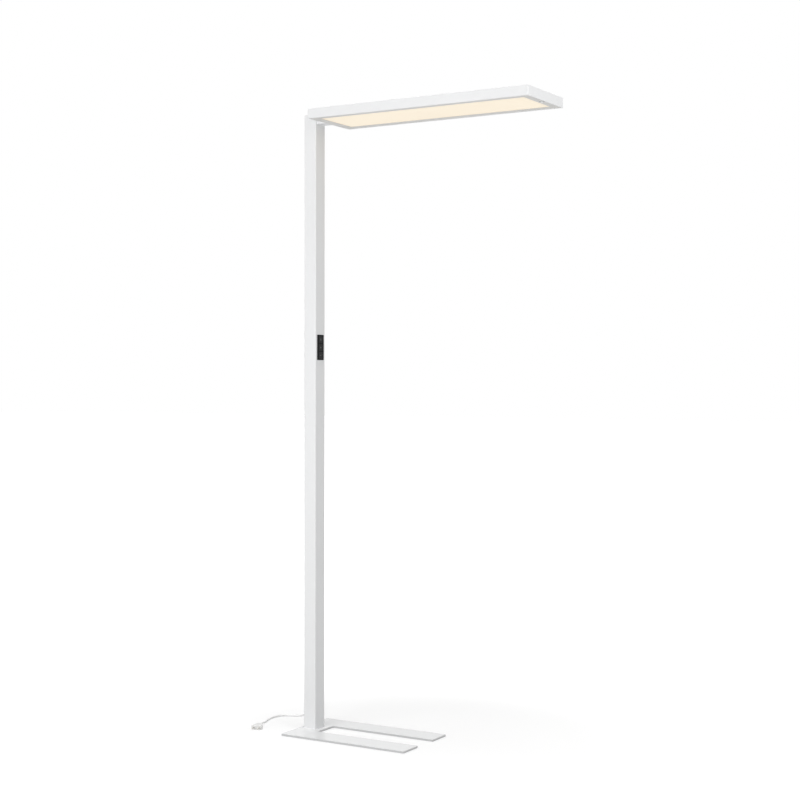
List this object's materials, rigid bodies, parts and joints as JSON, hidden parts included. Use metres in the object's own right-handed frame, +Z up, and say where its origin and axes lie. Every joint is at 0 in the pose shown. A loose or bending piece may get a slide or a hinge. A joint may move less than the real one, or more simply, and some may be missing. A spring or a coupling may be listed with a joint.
{
  "type": "office floor lamp",
  "caption": "Free-standing office floor lamp: flat rectangular LED head on a slim square post, U-shaped flat steel foot, push-key panel, presence sensor and mains cord.",
  "frame": {"origin": "on the floor, at the centre of the lamp's own footprint box, with the free mains cord left out", "axes": "+Z up along the post, +X along the head from the post towards its free end, +Y across, away from the side that the picture shows"},
  "size_m": [1.0468, 0.4713, 1.95],
  "materials": {
    "white_powder_coat": "white powder coat on aluminium, fine satin texture",
    "white_base_paint": "smooth white paint on steel, semi-gloss",
    "bare_aluminium": "bare, mill finish",
    "zinc_steel": "bright zinc plated",
    "white_screws": "painted white",
    "white_plastic": "moulded, fine texture",
    "white_plastic_plug": "moulded, satin",
    "white_trim": "matt white, moulded",
    "grey_plastic": "matt",
    "lens_plastic": "milky, polished",
    "opal_diffuser": "opal acrylic, fine satin, lit from behind",
    "clear_acrylic": "clear acrylic, polished edges",
    "white_film": "white diffuse film",
    "led_board": "white solder mask with yellow chips",
    "driver_case": "moulded",
    "green_board": "green solder mask",
    "black_plastic": "fine texture",
    "key_plastic": "satin, with a small light symbol",
    "pad_rubber": "matt",
    "white_rubber": "soft moulded",
    "white_cord": "soft white sheath",
    "grey_lead": "soft sheath",
    "tie_plastic": "soft flat strap",
    "nickel_pins": "nickel plated"
  },
  "bodies": {
    "lamp": {"base_plate": "white_base_paint", "base_pads": "pad_rubber", "foot_block": "bare_aluminium", "base_screws": "zinc_steel", "grub_screws": "zinc_steel", "post_profile": "white_powder_coat", "post_top_cap": "white_plastic", "neck_bracket": "white_powder_coat", "neck_nut_plate": "zinc_steel", "head_end_plate": "zinc_steel", "neck_bolts": "zinc_steel", "head_frame": "white_powder_coat", "head_top_cover": "white_powder_coat", "cover_screws": "white_screws", "diffuser_frame": "white_trim", "diffuser_panel": "opal_diffuser", "light_guide": "clear_acrylic", "reflector_sheet": "white_film", "led_strip_near": "led_board", "led_strip_far": "led_board", "heat_spreader": "bare_aluminium", "panel_clips": "zinc_steel", "led_driver": "driver_case", "driver_screws": "zinc_steel", "sensor_body": "grey_plastic", "sensor_lens": "lens_plastic", "control_bezel": "black_plastic", "control_board": "green_board", "key_switches": "black_plastic", "control_screws": "zinc_steel", "strain_relief": "white_rubber", "terminal_block": "white_plastic", "mains_lead": "white_cord", "power_lead": "grey_lead", "signal_lead": "grey_lead", "sensor_lead": "grey_lead", "cord_to_hank": "white_cord", "cord_hank": "white_cord", "cord_to_plug": "white_cord", "hank_tie": "tie_plastic", "plug_body": "white_plastic_plug", "plug_pins": "nickel_pins"},
    "key_power": {"key_power": "key_plastic"},
    "key_brighter": {"key_brighter": "key_plastic"},
    "key_dimmer": {"key_dimmer": "key_plastic"}
  },
  "joints": [
    {"name": "key_power_press", "type": "slide", "parent": "lamp", "child": "key_power", "axis": [-1, 0, 0], "range_m": [0, 0.0008], "stiffness_N_per_m": 900, "springref_m": -0.001},
    {"name": "key_brighter_press", "type": "slide", "parent": "lamp", "child": "key_brighter", "axis": [-1, 0, 0], "range_m": [0, 0.0008], "stiffness_N_per_m": 900, "springref_m": -0.001},
    {"name": "key_dimmer_press", "type": "slide", "parent": "lamp", "child": "key_dimmer", "axis": [-1, 0, 0], "range_m": [0, 0.0008], "stiffness_N_per_m": 900, "springref_m": -0.001}
  ]
}
